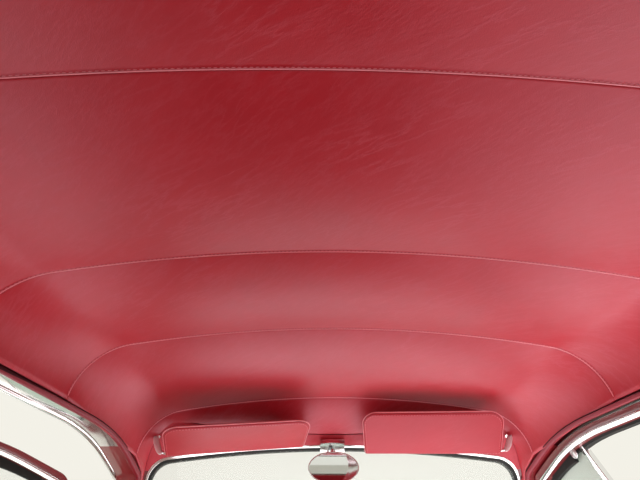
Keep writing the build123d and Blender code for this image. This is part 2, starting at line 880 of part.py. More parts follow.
# Rear-view mirror: bracket and stem, swivel block, shell with ears, glass
mirror_back = Plane((mirror_x, mirror_back_y, mirror_z), x_dir=(1, 0, 0), z_dir=(0, -1, 0))
mirror_face = mirror_back.offset(mirror_shell_depth)
mirror_pin = Axis((mirror_x, mirror_stem_y, mirror_z), (1, 0, 0))
plate_box = Box(2 * mirror_plate_half, 2 * beyond, mirror_plate_high - mirror_plate_low)
plate_box = plate_box.moved(Location((mirror_x, 0, (mirror_plate_high + mirror_plate_low) / 2)))
plate_slab = windscreen_band(
    -frame_inside - garnish_depth - mirror_plate_depth,
    -frame_inside - garnish_depth,
)
plate = cut_from(plate_slab, keep=[plate_box, under_lining])
swivel_low = mirror_z - swivel_height / 2
with BuildPart() as mirror_bracket:
    with BuildSketch(Plane((mirror_x, mirror_stem_y, swivel_low - stem_flange_height))):
        Circle(stem_flange_radius)
    extrude(amount=stem_flange_height)
    with BuildSketch(Plane((mirror_x, mirror_stem_y, swivel_low))):
        Circle(mirror_stem_radius)
    extrude(amount=mirror_stem_top - swivel_low)
    add(plate)
finish(mirror_bracket.part, "mirror_bracket")

with BuildPart() as mirror_swivel:
    with BuildSketch(Plane((mirror_x, mirror_stem_y, swivel_low))):
        Rectangle(swivel_width, swivel_width)
        Circle(mirror_stem_radius + swivel_play, mode=Mode.SUBTRACT)
    extrude(amount=swivel_height)
    pin_reach = swivel_width / 2 + ear_gap + ear_thickness
    for way in (-1, 1):
        cheek_x = mirror_x + way * swivel_width / 2
        with BuildSketch(Plane((cheek_x, mirror_stem_y, mirror_z), z_dir=(way, 0, 0))):
            Circle(swivel_pin_radius)
        extrude(amount=pin_reach - swivel_width / 2)
finish(mirror_swivel.part, "mirror_swivel")

with BuildPart() as mirror_shell:
    with BuildSketch(mirror_back):
        Ellipse(mirror_half_width, mirror_half_height)
    extrude(amount=mirror_shell_depth)
    with BuildSketch(mirror_face):
        Ellipse(mirror_half_width - mirror_glass_rim, mirror_half_height - mirror_glass_rim)
    extrude(amount=-mirror_glass_depth, mode=Mode.SUBTRACT)
    for way in (-1, 1):
        ear_x = mirror_x + way * (swivel_width / 2 + ear_gap)
        with BuildSketch(Plane((ear_x, 0, 0), x_dir=(0, 1, 0), z_dir=(way, 0, 0))):
            with Locations((mirror_stem_y, way * mirror_z)):
                Circle(2 * swivel_pin_radius)
            with Locations(((mirror_stem_y + mirror_back_y) / 2, way * mirror_z)):
                Rectangle(mirror_stem_y - mirror_back_y, 4 * swivel_pin_radius)
            with Locations((mirror_stem_y, way * mirror_z)):
                Circle(swivel_pin_radius + swivel_play, mode=Mode.SUBTRACT)
        extrude(amount=ear_thickness)
finish(mirror_shell.part.rotate(mirror_pin, mirror_dip), "mirror_shell")

with BuildPart() as mirror_glass:
    with BuildSketch(mirror_face):
        Ellipse(mirror_half_width - mirror_glass_rim, mirror_half_height - mirror_glass_rim)
    extrude(amount=-mirror_glass_depth)
finish(mirror_glass.part.rotate(mirror_pin, mirror_dip), "mirror_glass")
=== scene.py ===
"""Dresses the lined roof section of a closed car, seen from inside under its headlining.

Metres, +X to the car's right, +Y to its front, +Z up, floor at the cut plane. The pieces' sizes below are in
millimetres, and those of the camera, the lamps, the floor and the bright strip are in metres.
"""

import functools
import math

import bmesh
import bpy
from mathutils import Matrix, Vector


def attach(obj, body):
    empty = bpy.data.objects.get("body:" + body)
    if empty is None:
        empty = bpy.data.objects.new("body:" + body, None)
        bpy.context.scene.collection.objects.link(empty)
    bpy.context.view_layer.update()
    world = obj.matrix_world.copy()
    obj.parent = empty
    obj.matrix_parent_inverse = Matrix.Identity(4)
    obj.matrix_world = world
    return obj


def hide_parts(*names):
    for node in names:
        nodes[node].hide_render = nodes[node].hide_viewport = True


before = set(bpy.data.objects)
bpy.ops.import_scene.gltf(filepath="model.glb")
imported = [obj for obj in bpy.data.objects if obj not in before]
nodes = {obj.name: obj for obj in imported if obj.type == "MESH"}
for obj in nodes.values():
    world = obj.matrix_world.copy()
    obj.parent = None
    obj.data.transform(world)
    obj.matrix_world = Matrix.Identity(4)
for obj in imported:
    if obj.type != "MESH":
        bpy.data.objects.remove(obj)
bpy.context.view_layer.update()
MM = 0.001
IN_METRES = Matrix.Scale(MM, 4)
UP = Vector((0, 0, 1))
AHEAD = Vector((0, 1, 0))
BACK = Vector((0, -1, 0))

# Lining arches: y, half width, height where the side turns upright, crown height, shoulder radius
LINING_ARCHES = (
    (70.0, 518.0, 152.0, 238.0, 75.0),
    (-30.0, 497.0, 206.0, 318.0, 75.0),
    (-66.0, 491.0, 232.0, 348.0, 78.0),
    (-133.0, 491.0, 256.0, 398.0, 110.0),
    (-420.0, 552.0, 301.0, 457.0, 118.0),
    (-670.0, 614.0, 311.0, 486.0, 126.0),
    (-1015.0, 674.0, 310.0, 503.0, 128.0),
    (-1340.0, 690.0, 308.0, 500.0, 126.0),
    (-1660.0, 664.0, 298.0, 472.0, 120.0),
    (-1900.0, 620.0, 290.0, 412.0, 110.0),
    (-2060.0, 590.0, 282.0, 372.0, 85.0),
)
LINING_SEAMS = (-133.0, -420.0, -670.0, -1015.0, -1340.0, -1660.0)
SEAM_PAIRS = tuple(zip(LINING_SEAMS, (*LINING_SEAMS[1:], None)))
CROWN_SHARE = 0.76
NORMAL_STEP = 0.004

# Sewn covers: their rows of faces near a seam, sag between the bows, groove, hem and flat cut
LINING_THICKNESS = 2.4
PANEL_DIP = 12.0
FULL_DIP_SPAN = 300.0
DIP_FADE_POWER = 12
COVER_COLUMNS = 150
EDGE_ROWS = (0.0, 0.5, 1.1, 1.8, 2.6, 3.6, 5.0, 7.5, 12.0, 20.0)
EDGE_ROOM = 5
MIDDLE_ROWS = 26
GROOVE_REACH = 3.6
GROOVE_DEPTH = 2.4
HEM_REACH = 5.0
HEM_RISE = 0.9
HEM_EDGE = 1.1
CUT_LENGTH_LINES = 20
CUT_LENGTH_STEPS = 40
CUT_WIDTH_STEPS = 80
CUT_WIDTH_STATIONS = (0.02, 0.5, 0.98)

# Stitches and welts along the seams; their reach is a share of the half width
STITCH_PITCH = 7.0
STITCH_LENGTH = 5.4
STITCH_WIDTH = 1.1
STITCH_INSET = 3.4
STITCH_LIFT = 0.2
STITCH_REACH = 0.985
STITCH_STEPS = 400
WELT_INSET = 1.2
WELT_STAND = 0.5
WELT_RADIUS = 1.1
WELT_REACH = 0.99
WELT_STEPS = 240
TUBE_RESOLUTION = 2

# Windows that the lining ends at, as the solids have them: y, rake, bow, facing, depth of the lining's end
HEADER_HEIGHT = 300.0
WINDSCREEN = (0.0, 40.0, 1600.0, 1, -14.3)
REAR_WINDOW = (-1950.0, 38.0, 1500.0, -1, -24.3)
WINDSCREEN_SEARCH = (-100.0, 69.0)
REAR_SEARCH = (-2059.0, -1700.0)
SEARCH_HALVINGS = 24

# Rounding of the solids' copies
MERGE_METRES = 0.00002
FLAT_ANGLE = 0.6
SHARP_ANGLE = 30.0

# Sun visors: rod's inner end, its outer end, lift of the blade
VISOR_RODS = {
    "left": ((-84.0, -52.5, 301.7), (-441.0, -109.7, 267.8), 12.0),
    "right": ((80.0, -52.0, 285.4), (434.0, -109.8, 272.5), 30.0),
}
VISOR_HEIGHT = 130.0
VISOR_BELOW_ROD = 9.0
VISOR_THICKNESS = 15.0
VISOR_TAPER = 0.72
VISOR_FILLING = 0.93
VISOR_CROWN = 0.6
VISOR_CORNER = 38.0
VISOR_ROD_CORNER = 5.0
VISOR_CORNER_STEPS = 10
VISOR_OUTER_GAP = 11.0
VISOR_BLIND_END = 1.0
VISOR_RIM = 7.0
VISOR_COLUMNS = 70
VISOR_ROWS = 30
VISOR_MERGE = 0.05
PIPING_RADIUS = 1.9
PIPING_GROWTH = -0.6
VISOR_STITCH_GROWTH = -6.0

# Visor brackets: side, foot on the rod's corner, head at its seat on the lining
VISOR_BRACKETS = {
    "left": ((-441.0, -109.7, 267.8), (-463.0, -97.0, 311.0)),
    "right": ((434.0, -109.8, 272.5), (459.0, -97.0, 311.0)),
}
BRACKET_HALF_WIDTH = 7.5
BRACKET_BOW = 3.0
BRACKET_DOME = 2.6
BRACKET_STAND = 5.0
BRACKET_WALL = 1.6
BRACKET_COLUMNS = 32
BRACKET_ROWS = 10
BRACKET_MERGE = 0.00001
BRACKET_SCREW_ALONG = 0.86
BRACKET_SCREW_BOW = 0.45
BRACKET_SCREW_STAND = 4.8
BRACKET_SCREW_RADIUS = 3.2

# Screw heads, as shares of their radius
HEAD_SEGMENTS = 24
HEAD_RINGS = 12
HEAD_CUT = -0.01
HEAD_DOME = 0.45
SLOT_HALF = 0.256
SLOT_FLOOR = 0.2

# Mirror: its pin, the back of its case and its convex pane
MIRROR_PIN = (-6.0, -18.0, 247.0)
MIRROR_DIP = 5.6
MIRROR_BACK_Y = -40.2
MIRROR_FACE_Y = -54.6
MIRROR_BACK_HALF = (63.0, 35.0)
MIRROR_PANE_HALF = (63.2, 35.2)
MIRROR_PANE_RADIUS = 2500.0
MIRROR_PANE_APEX = (-60.0, 15.0)
MIRROR_BACK_DOME = 8.0
DOME_SEGMENTS = 72
DOME_FIRST_RING = 0.08
DOME_RING = 0.14
DOME_RINGS = 6

# Rubber in the right vent pane's top corner: its line from front to rear, sizes, and the pivot
VENT_RUBBER_LINE = ((538.0, -112.0, 210.0), (548.0, -214.0, 242.0))
VENT_RUBBER_HALF = 54.0
VENT_RUBBER_ENDS = (10.0, 13.0)
VENT_RUBBER_DEPTH = 5.0
VENT_RUBBER_BOW = 3.0
VENT_RUBBER_DROP = 5.0
VENT_RUBBER_CUTS = 5
VENT_RUBBER_ROUND = 2.0
VENT_RUBBER_SHARP = 50.0
VENT_PIVOT = (541.0, -228.0, 241.0)
VENT_PIVOT_WAY = (-1.0, 0.0, -0.25)
VENT_PIVOT_RADIUS = 12.0
LEFT_DOOR_PIN = (-646.0, 95.0, 0.0)
LEFT_DOOR_SWING = -41.0

# Bright strip under the head of each door opening: steepest face, stations, lowest level
STRIP_SLOPE = -0.45
STRIP_SPAN = (-1.1, -0.20)
STRIP_LEVEL = 0.21

# Faces of the windlace that get a near-black vinyl as painted shade of the groove where it meets the lining
GROOVE_SHADE_INWARD = 0.25
GROOVE_SHADE_SLOPE = -0.30

# Camera, as the photograph was taken
CAMERA_PLACE = (-0.0892, -1.2955, 0.0234)
CAMERA_PITCH = 37.954
CAMERA_YAW = -2.554
CAMERA_ROLL = -0.722
CAMERA_LENS = 24.19
CAMERA_CLIP = 0.005
SENSOR_WIDTH = 36.0

# Lamps: name, place, point aimed at, size, watts, colour
LAMPS = (
    ("dash lamp", (0.06, -0.02, 0.006), (0.06, -0.02, 1.0), (0.9, 0.36), 2.6, (1.0, 0.97, 1.0)),
    ("left sill lamp", (-0.60, -0.60, 0.006), (-0.60, -0.60, 1.0), (0.2, 0.9), 1.0, (1.0, 0.97, 1.0)),
    ("right sill lamp", (0.62, -0.60, 0.006), (0.62, -0.60, 1.0), (0.2, 0.9), 1.9, (1.0, 0.97, 1.0)),
    ("right floor lamp", (0.38, -0.75, 0.006), (0.38, -0.75, 1.0), (0.35, 0.9), 0.9, (1.0, 0.95, 0.97)),
    ("rear floor lamp", (0.0, -1.62, 0.006), (0.0, -1.62, 1.0), (0.9, 0.4), 1.3, (1.0, 0.97, 1.0)),
    ("left door lamp", (-1.9, 0.5, 0.15), (0.2, -0.5, 0.42), (0.9, 0.4), 22.0, (0.97, 0.97, 1.0)),
    ("right rear lamp", (2.3, -1.9, 0.2), (0.2, -1.1, 0.48), (0.9, 0.5), 7.0, (1.0, 0.95, 0.97)),
    ("front lamp", (0.1, 1.6, 0.35), (0.0, -0.5, 0.42), (2.2, 0.5), 2.4, (1.0, 0.97, 1.0)),
    ("top lamp", (0.6, -1.0, 3.2), (0.0, -1.0, 0.3), (3.0, 3.0), 40.0, (1.0, 1.0, 1.0)),
)

# Floor, and surroundings that light less than they show
FLOOR_HALF = 12.0
FLOOR_PLACE = (0.0, -1.0, -0.001)
FLOOR_TONES = ((0.76, 0.74, 0.68, 1.0), (0.80, 0.78, 0.72, 1.0))
SURROUNDINGS_COLOUR = (0.90, 0.88, 0.80, 1.0)
STRENGTH_AS_LIGHT = 0.68
STRENGTH_AS_SHOWN = 1.0

# Creases of the vinyl
CREASE_SLANT = -30.0
CREASE_PALE = (0.58, 0.12, 0.16, 1.0)
VINYL_TINT = (1.0, 0.82, 0.94, 1.0)


class Link:
    """One output of a tree's nodes; arithmetic on it adds Math nodes."""

    def __init__(self, shading, socket):
        self.shading = shading
        self.socket = socket

    def maths(self, operation, first, second=0.0):
        return self.shading.node("ShaderNodeMath", {"operation": operation}, {0: first, 1: second})

    def __add__(self, other):
        return self.maths("ADD", self, other)

    def __radd__(self, other):
        return self.maths("ADD", other, self)

    def __sub__(self, other):
        return self.maths("SUBTRACT", self, other)

    def __rsub__(self, other):
        return self.maths("SUBTRACT", other, self)

    def __mul__(self, other):
        return self.maths("MULTIPLY", self, other)

    def __rmul__(self, other):
        return self.maths("MULTIPLY", other, self)

    def __pow__(self, other):
        return self.maths("POWER", self, other)

    def __abs__(self):
        return self.maths("ABSOLUTE", self)

    def __or__(self, other):
        """Either of two masks."""
        return self.maths("MAXIMUM", self, other)


class Shading:
    """A tree of shader nodes, added one call at a time."""

    def __init__(self, tree):
        self.tree = tree

    def join(self, socket, value):
        if isinstance(value, Link):
            self.tree.links.new(value.socket, socket)
        else:
            socket.default_value = value

    def node(self, kind, settings, inputs, output=0):
        made = self.tree.nodes.new(kind)
        for key, value in settings.items():
            setattr(made, key, value)
        for key, value in inputs.items():
            self.join(made.inputs[key], value)
        return Link(self, made.outputs[output])


class Finish(Shading):
    """A procedural finish built round one Principled shader."""

    def __init__(self, name, sockets):
        self.material = bpy.data.materials.new(name)
        self.material.use_nodes = True
        super().__init__(self.material.node_tree)
        self.shader = self.tree.nodes["Principled BSDF"]
        for key, value in sockets.items():
            self.set(key, value)

    def set(self, name, value):
        self.join(self.shader.inputs[name], value)

    def place(self, stretch=(1.0, 1.0, 1.0), turn=0.0):
        """Object coordinates turned about Z, then drawn out along their own axes."""
        here = self.node("ShaderNodeTexCoord", {}, {}, "Object")
        inputs = {"Vector": here, "Rotation": (0.0, 0.0, math.radians(turn)), "Scale": stretch}
        return self.node("ShaderNodeMapping", {"vector_type": "TEXTURE"}, inputs)

    def noise(self, scale, detail=3.0, roughness=0.55, where=None, distortion=0.0):
        inputs = {"Scale": scale, "Detail": detail, "Roughness": roughness, "Distortion": distortion}
        inputs["Vector"] = where or self.place()
        return self.node("ShaderNodeTexNoise", {}, inputs)

    def ridges(self, sharpness, scale, **settings):
        """Thin lines where a noise crosses its middle."""
        return (1.0 - abs(self.noise(scale, **settings) * 2.0 - 1.0)) ** sharpness

    def cells(self, scale):
        return self.node("ShaderNodeTexVoronoi", {"feature": "F1"}, {"Scale": scale, "Vector": self.place()})

    def between(self, factor, low, high):
        """Mix of two colours."""
        settings = {"data_type": "RGBA", "clamp_factor": True}
        return self.node("ShaderNodeMix", settings, {0: factor, 6: low, 7: high}, 2)

    def bump(self, height, distance, strength, normal=None):
        inputs = {"Height": height, "Distance": distance, "Strength": strength}
        if normal:
            inputs["Normal"] = normal
        return self.node("ShaderNodeBump", {}, inputs)


def shade(red, green, blue, by=1.0):
    """Colour with full alpha, lightened or darkened by a factor."""
    return (red * by, green * by, blue * by, 1.0)


def grey(tone, by=1.0):
    return shade(tone, tone, tone, by)


def vinyl(name, colour, roughness=0.40, creases=1.0, shine=0.80):
    """Grained red vinyl with soft mottling, slanting creases and fine ripples."""
    finish = Finish(name, {"Specular IOR Level": shine, "Specular Tint": VINYL_TINT})
    mottle = finish.noise(3.1, detail=4.0, roughness=0.6)
    cloud = finish.noise(14.0, detail=3.0, roughness=0.5)
    spots = finish.noise(6.0, detail=2.0)
    patches = finish.node("ShaderNodeMapRange", {}, {"Value": spots, "From Min": 0.40, "From Max": 0.62})
    long_way = finish.place((1.0, 0.24, 1.0), CREASE_SLANT)
    short_way = finish.place((1.0, 0.26, 1.0), CREASE_SLANT - 14.0)
    long_crease = finish.ridges(18.0, 9.0, detail=5.0, roughness=0.62, where=long_way, distortion=0.2)
    short_crease = finish.ridges(16.0, 21.0, detail=4.0, roughness=0.6, where=short_way, distortion=0.2)
    wear = (long_crease * patches + short_crease * (1.0 - patches) * 0.55) * creases
    deep = finish.between(mottle, shade(*colour, by=0.78), shade(*colour, by=1.20))
    cloudy = finish.between(cloud * 0.35, deep, shade(*colour, by=1.3))
    finish.set("Base Color", finish.between(wear * 0.22, cloudy, CREASE_PALE))
    finish.set("Roughness", roughness + cloud * 0.10 - mottle * 0.05 + wear * 0.05)
    ripple_way = finish.place((1.0, 0.35, 1.0), CREASE_SLANT + 10.0)
    ripple = finish.noise(85.0, detail=3.0, roughness=0.6, where=ripple_way)
    pebble = finish.cells(720.0)
    fold = finish.bump(wear, distance=0.0003, strength=0.35)
    rippled = finish.bump(ripple, distance=0.0006, strength=0.35, normal=fold)
    finish.set("Normal", finish.bump(pebble, distance=0.00022, strength=0.30, normal=rippled))
    return finish.material


def bright_metal(name, tone=0.86, roughness=0.07, metal=1.0):
    """Polished plating with faint hand polish marks."""
    finish = Finish(name, {"Metallic": metal})
    haze = finish.noise(9.0, detail=4.0)
    finish.set("Base Color", finish.between(haze, grey(tone, by=0.94), grey(tone)))
    strokes = finish.noise(60.0, detail=2.0, roughness=0.5, where=finish.place((1.0, 0.14, 1.0)))
    finish.set("Roughness", roughness + haze * 0.04 + strokes * 0.03)
    finish.set("Normal", finish.bump(strokes, distance=0.00004, strength=0.2))
    return finish.material


def body_paint(name, colour):
    """Deep gloss paint under lacquer."""
    finish = Finish(name, {"Coat Weight": 1.0, "Coat Roughness": 0.04})
    cloud = finish.noise(5.0, detail=3.0)
    sparkle = finish.cells(2600.0)
    base = finish.between(cloud, shade(*colour, by=0.86), shade(*colour, by=1.12))
    finish.set("Base Color", finish.between(sparkle * 0.12, base, shade(*colour, by=1.9)))
    finish.set("Roughness", 0.34 + cloud * 0.08)
    peel = finish.noise(190.0, detail=2.0)
    finish.set("Normal", finish.bump(peel, distance=0.00005, strength=0.25))
    return finish.material


def weather_rubber(name, tone=0.012):
    """Dull black rubber with a greenish cast and dusty patches."""
    finish = Finish(name, {"Specular IOR Level": 0.2})
    dust = finish.noise(24.0, detail=5.0, roughness=0.65)
    clean = shade(tone, tone * 1.08, tone)
    dusty = shade(tone * 2.1, tone * 2.2, tone * 2.1)
    finish.set("Base Color", finish.between(dust, clean, dusty))
    finish.set("Roughness", 0.48 + dust * 0.2)
    grain = finish.noise(800.0, detail=2.0)
    finish.set("Normal", finish.bump(grain, distance=0.0001, strength=0.3))
    return finish.material


def clear_glass(name, tint):
    """Clear pane: light goes through, and its faces shine at a slant."""
    finish = Finish(name, {"Roughness": 0.015, "Specular IOR Level": 0.6})
    edge = finish.node("ShaderNodeFresnel", {}, {"IOR": 1.45})
    smear = finish.noise(7.0, detail=4.0, roughness=0.6)
    finish.set("Base Color", finish.between(smear, shade(*tint, by=0.94), shade(*tint)))
    finish.set("Alpha", 0.07 + edge * 0.75 + smear * 0.02)
    return finish.material


def silvered_glass(name):
    """Mirror glass with a slight tint."""
    finish = Finish(name, {"Metallic": 1.0})
    smear = finish.noise(30.0, detail=4.0)
    finish.set("Base Color", finish.between(smear, shade(0.92, 0.95, 0.95), shade(0.95, 0.97, 0.97)))
    finish.set("Roughness", 0.015 + smear * 0.02)
    return finish.material


def brushed_steel(name, tone=0.45):
    """Plain steel with fine brushing."""
    finish = Finish(name, {"Metallic": 1.0})
    strokes = finish.noise(90.0, detail=3.0, roughness=0.6, where=finish.place((1.0, 1.0, 0.08)))
    finish.set("Base Color", finish.between(strokes, grey(tone, by=0.85), grey(tone)))
    finish.set("Roughness", 0.30 + strokes * 0.18)
    finish.set("Normal", finish.bump(strokes, distance=0.0001, strength=0.3))
    return finish.material


def sewing_thread(name, colour):
    """Twisted thread."""
    finish = Finish(name, {"Sheen Weight": 0.3})
    twist = finish.noise(1800.0, detail=2.0)
    finish.set("Base Color", finish.between(twist, shade(*colour, by=0.75), shade(*colour, by=1.15)))
    finish.set("Roughness", 0.55 + twist * 0.15)
    finish.set("Normal", finish.bump(twist, distance=0.0002, strength=0.5))
    return finish.material


lining_vinyl = vinyl("lining vinyl", (0.42, 0.007, 0.016))
# Visors: the lining's vinyl made darker so that their brightly lit faces render dimmer, a painted shade
visor_shaded_vinyl = vinyl("visor vinyl with painted shade", (0.36, 0.006, 0.014), roughness=0.42, creases=0.4, shine=0.5)
# Visor piping: the piping is real, and its pale pink is partly a painted highlight along the visor's edge
piping_highlight_vinyl = vinyl("piping vinyl with painted highlight", (0.80, 0.30, 0.34), roughness=0.34, creases=0.0, shine=0.6)
# Pale pink for the seam welts: a painted highlight on folds of the dark red lining vinyl
hem_highlight_vinyl = vinyl("hem vinyl with painted highlight", (0.78, 0.30, 0.34), roughness=0.36, creases=0.0)
bead_vinyl = vinyl("windlace vinyl", (0.20, 0.005, 0.012), roughness=0.38, creases=0.2, shine=0.5)
# Near-black copy of the windlace vinyl: painted shade for the groove between windlace and lining
painted_groove_shade_vinyl = vinyl("windlace painted groove shade vinyl", (0.035, 0.002, 0.004), roughness=0.55, creases=0.0, shine=0.2)
trim_vinyl = vinyl("pillar trim vinyl", (0.30, 0.007, 0.014), roughness=0.42, creases=0.4, shine=0.5)
chrome = bright_metal("bright trim plating")
# Visor brackets: mostly non-metal near-white plating, whose white stands in for the chrome's bright
# reflection, a painted reflection
bracket_painted_glint_plating = bright_metal("bracket plating with painted glint", tone=0.96, roughness=0.20, metal=0.35)
outer_paint = body_paint("outer paint", (0.20, 0.006, 0.010))
door_paint = body_paint("door paint", (0.16, 0.006, 0.010))
rubber = weather_rubber("weather rubber")
pane_glass = clear_glass("pane glass", (0.62, 0.74, 0.66))
mirror_silver = silvered_glass("mirror silver")
steel = brushed_steel("hinge steel")
thread = sewing_thread("lining thread", (0.74, 0.22, 0.26))
screw_steel = brushed_steel("screw steel", tone=0.62)

NODE_FINISHES = {
    "roof_panel": outer_paint,
    "windscreen_frame": outer_paint,
    "rear_panel": outer_paint,
    "left_body_side": outer_paint,
    "right_body_side": outer_paint,
    "drip_rails": chrome,
    "windlaces": bead_vinyl,
    "pillar_trims": trim_vinyl,
    "quarter_trims": lining_vinyl,
    "rear_trim": lining_vinyl,
    "quarter_glasses": pane_glass,
    "windscreen_glass": pane_glass,
    "rear_glass": pane_glass,
    "left_vent_glass": pane_glass,
    "right_vent_glass": pane_glass,
    "quarter_gaskets": rubber,
    "windscreen_gasket": rubber,
    "rear_gasket": rubber,
    "left_door_seal": rubber,
    "right_door_seal": rubber,
    "quarter_reveals": chrome,
    "windscreen_garnish": chrome,
    "rear_garnish": chrome,
    "left_door_reveal": chrome,
    "right_door_reveal": chrome,
    "left_vent_bar": chrome,
    "right_vent_bar": chrome,
    "left_visor_arm": chrome,
    "right_visor_arm": chrome,
    "mirror_bracket": chrome,
    "mirror_shell": chrome,
    "mirror_swivel": steel,
    "mirror_glass": mirror_silver,
    "left_door_frame": door_paint,
    "right_door_frame": door_paint,
    "door_hinge_posts": steel,
    "left_door_hinge_strap": steel,
    "right_door_hinge_strap": steel,
    "left_visor": visor_shaded_vinyl,
    "right_visor": visor_shaded_vinyl,
    "header_lining": lining_vinyl,
    "header_trim": lining_vinyl,
}
for number in range(1, len(LINING_SEAMS) + 1):
    NODE_FINISHES[f"lining_panel_{number}"] = lining_vinyl


def dress(piece, material):
    piece.data.materials.clear()
    piece.data.materials.append(material)


for node_name, material in NODE_FINISHES.items():
    dress(nodes[node_name], material)


def piece_of(mesh, name, material, body, angle):
    """New object on a body, shaded smooth, with edges sharper than an angle left crisp."""
    mesh.polygons.foreach_set("use_smooth", [True] * len(mesh.polygons))
    mesh.set_sharp_from_angle(angle=math.radians(angle))
    piece = bpy.data.objects.new(name, mesh)
    bpy.context.scene.collection.objects.link(piece)
    dress(piece, material)
    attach(piece, body)
    return piece


def piece_from(form, name, material, body, angle=35.0):
    """New object on a body, from a finished bmesh."""
    mesh = bpy.data.meshes.new(name)
    form.to_mesh(mesh)
    form.free()
    return piece_of(mesh, name, material, body, angle)


def thicken(piece, thickness):
    """Wall behind a piece's face."""
    wall = piece.modifiers.new("thickness", "SOLIDIFY")
    wall.thickness = thickness * MM
    wall.offset = -1.0


def round_edges(form, angle, radius, segments):
    """Rounds each edge that is sharper than an angle."""
    bmesh.ops.bevel(
        form,
        geom=[edge for edge in form.edges if edge.calc_face_angle(0.0) > math.radians(angle)],
        offset=radius,
        segments=segments,
        profile=0.5,
        affect="EDGES",
        material=-1,
        clamp_overlap=True,
    )


def mix(low, high, share):
    return low + (high - low) * share


def towards(way, aim):
    """The direction or its opposite, whichever points the way of the aim."""
    return way if way.dot(aim) > 0 else -way


def line_length(points):
    return sum((end - start).length for start, end in zip(points, points[1:]))


def arch_point(share, row):
    """Point of one lining arch, from its left foot at -1 to its right foot at 1."""
    y, half, rail, crown, shoulder = row
    reach = half - shoulder
    rise = crown - rail
    radius = (reach**2 + rise**2 - shoulder**2) / (2 * (rise - shoulder))
    centre = crown - radius
    join = math.atan2(rail - centre, reach)
    side = math.copysign(1.0, share)
    part = abs(share)
    if part <= CROWN_SHARE:
        turn = mix(math.pi / 2, join, part / CROWN_SHARE)
        return Vector((side * radius * math.cos(turn), y, centre + radius * math.sin(turn)))
    turn = mix(join, 0.0, (part - CROWN_SHARE) / (1.0 - CROWN_SHARE))
    return Vector((side * (reach + shoulder * math.cos(turn)), y, rail + shoulder * math.sin(turn)))


def lining_point(share, y):
    """Point of the lining's face at one station, in millimetres."""
    for front, rear in zip(LINING_ARCHES, LINING_ARCHES[1:]):
        if rear[0] <= y <= front[0]:
            along = (front[0] - y) / (front[0] - rear[0])
            return arch_point(share, front).lerp(arch_point(share, rear), along)
    return arch_point(share, LINING_ARCHES[-1])


def lining_normal(share, y):
    """Direction out of the cabin at one place of the lining."""
    right = lining_point(min(share + NORMAL_STEP, 1.0), y)
    left = lining_point(max(share - NORMAL_STEP, -1.0), y)
    ahead = lining_point(share, y + 1.0) - lining_point(share, y - 1.0)
    return ahead.cross(right - left).normalized() * -1.0


def raked_y(x, z, middle, rake, bow, facing, depth):
    """Station of a bowed, raked window surface moved out by a depth."""
    sag = bow - math.sqrt(bow**2 - x**2)
    run = (HEADER_HEIGHT - z) * math.tan(math.radians(rake))
    return middle + facing * (run - sag + depth / math.cos(math.radians(rake)))


@functools.lru_cache(maxsize=None)
def end_station(share, front):
    """Where the lining meets the windscreen moulding or the rear trim."""
    low, high = WINDSCREEN_SEARCH if front else REAR_SEARCH
    window = WINDSCREEN if front else REAR_WINDOW
    for _ in range(SEARCH_HALVINGS):
        middle = (low + high) / 2
        point = lining_point(share, middle)
        limit = raked_y(point.x, point.z, *window)
        low, high = (low, middle) if middle > limit else (middle, high)
    return (low + high) / 2


def panel_ends(share, front, rear):
    """Stations where a panel starts and stops; a missing seam is the window's edge."""
    front_y = end_station(share, True) if front is None else front
    rear_y = end_station(share, False) if rear is None else rear
    return front_y, rear_y


def cover_point(share, y, front, rear):
    """Point of a sewn cover: it dips between its bows and is hemmed over its front seam."""
    front_y, rear_y = panel_ends(share, front, rear)
    span = front_y - rear_y
    along = (front_y - y) / span
    fade = 1.0 - abs(share) ** DIP_FADE_POWER
    rise = -PANEL_DIP * min(span / FULL_DIP_SPAN, 1.0) * 4 * along * (1 - along) * fade
    from_rear, from_front = y - rear_y, front_y - y
    if rear is not None and from_rear < GROOVE_REACH:
        rise += GROOVE_DEPTH * (1 - from_rear / GROOVE_REACH) ** 2
    if front is not None and from_front < HEM_REACH:
        rise -= HEM_RISE * math.sin(math.pi * from_front / HEM_REACH)
        rise += HEM_EDGE * max(1 - from_front, 0.0) ** 2
    return lining_point(share, y) + lining_normal(share, y) * rise


def flat_cut(front, rear):
    """Width and length of the cloth that a panel is cut from, in metres."""
    lengths = []
    for line_number in range(CUT_LENGTH_LINES + 1):
        share = -1.0 + 2 * line_number / CUT_LENGTH_LINES
        front_y, rear_y = panel_ends(share, front, rear)
        line = []
        for step in range(CUT_LENGTH_STEPS + 1):
            line.append(cover_point(share, mix(front_y, rear_y, step / CUT_LENGTH_STEPS), front, rear))
        lengths.append(line_length(line))
    widths = []
    for along in CUT_WIDTH_STATIONS:
        line = []
        for step in range(CUT_WIDTH_STEPS + 1):
            share = -1.0 + 2 * step / CUT_WIDTH_STEPS
            front_y, rear_y = panel_ends(share, front, rear)
            line.append(cover_point(share, mix(front_y, rear_y, along), front, rear))
        widths.append(line_length(line))
    return max(widths) * MM, max(lengths) * MM


